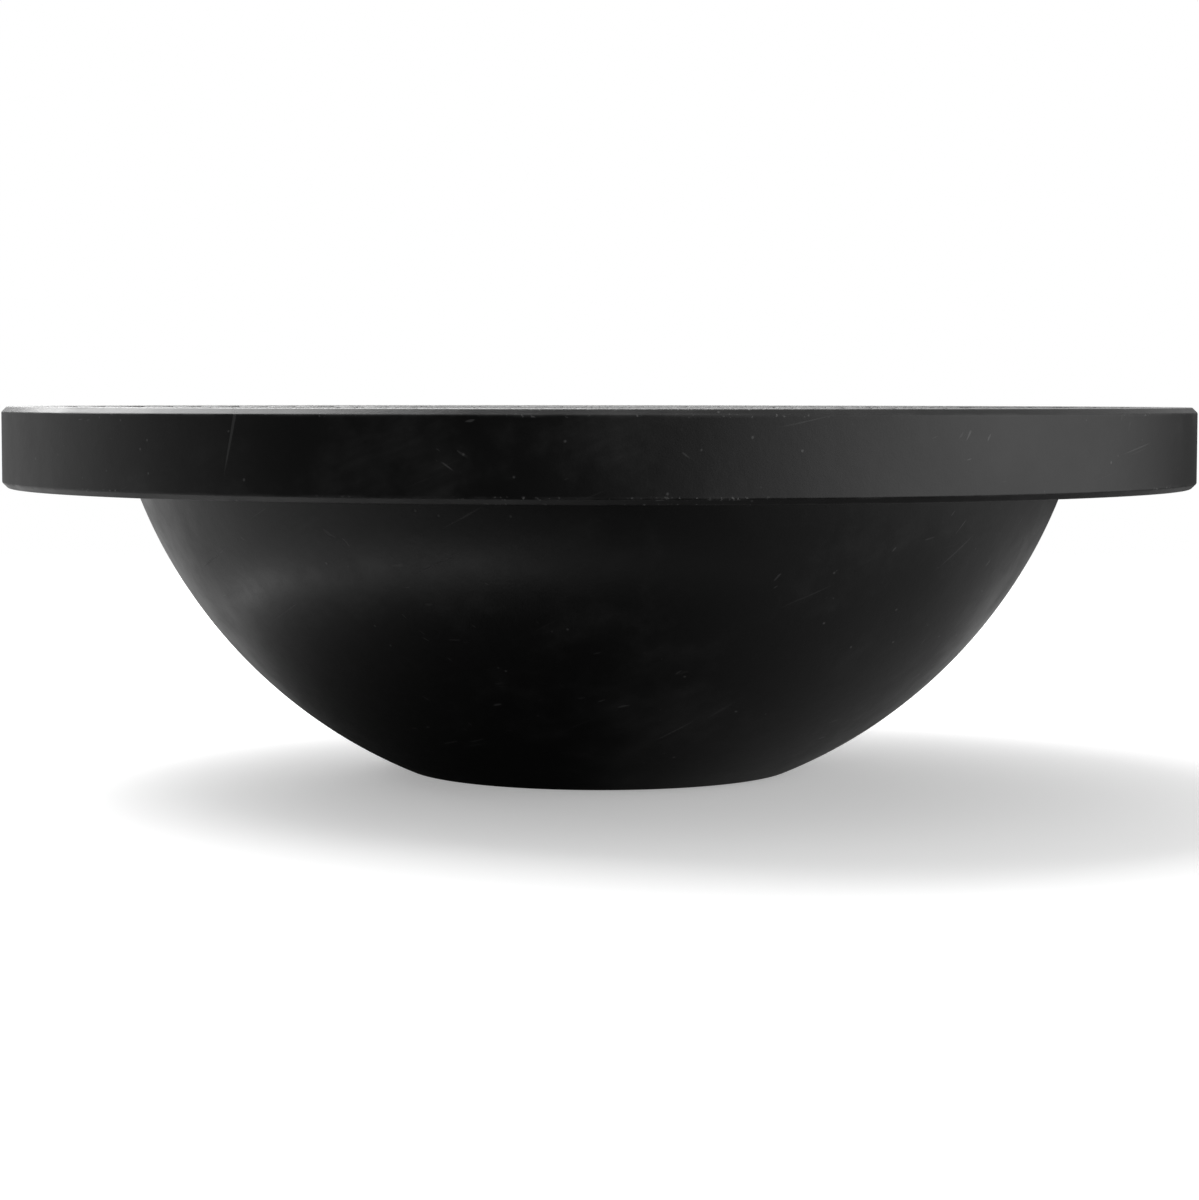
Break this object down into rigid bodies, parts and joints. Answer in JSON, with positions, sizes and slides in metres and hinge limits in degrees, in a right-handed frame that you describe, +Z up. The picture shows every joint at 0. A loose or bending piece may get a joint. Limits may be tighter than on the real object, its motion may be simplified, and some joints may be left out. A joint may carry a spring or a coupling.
{
  "type": "balance board",
  "caption": "Round balance board: a thick bevelled deck with a grip mat on a hollow dome with a flat rubber foot, for standing balance exercise.",
  "frame": {"origin": "centre of the foot pad's underside, on the floor", "axes": "+Z up, along the board's axis of symmetry; +X and +Y are any two directions across the deck, with rim screws on +X and on +Y"},
  "size_m": [0.4059, 0.406, 0.1255],
  "materials": {
    "moulded_deck": "satin black moulding with fine scuffs",
    "moulded_base": "satin black moulding",
    "moulded_dome": "satin black moulding with fine scratches",
    "mat_rubber": "matte studded rubber",
    "pad_rubber": "matte grooved rubber",
    "seal_rubber": "matte rubber",
    "adhesive_film": "matte film",
    "black_screws": "blackened steel",
    "zinc_steel": "zinc-plated steel",
    "insert_brass": "turned brass",
    "column_aluminium": "sawn and deburred aluminium tube"
  },
  "bodies": {
    "root": {"deck": "moulded_deck", "deck_base": "moulded_base", "base_screws": "black_screws", "grip_mat": "mat_rubber", "mat_adhesive": "adhesive_film", "dome": "moulded_dome", "rim_seal": "seal_rubber", "rim_inserts": "insert_brass", "rim_screws": "black_screws", "centre_column": "column_aluminium", "upper_load_plate": "zinc_steel", "lower_load_plate": "zinc_steel", "tie_bolt": "zinc_steel", "tie_washers": "zinc_steel", "tie_nut": "zinc_steel", "pad_adhesive": "adhesive_film", "foot_pad": "pad_rubber"}
  },
  "joints": []
}
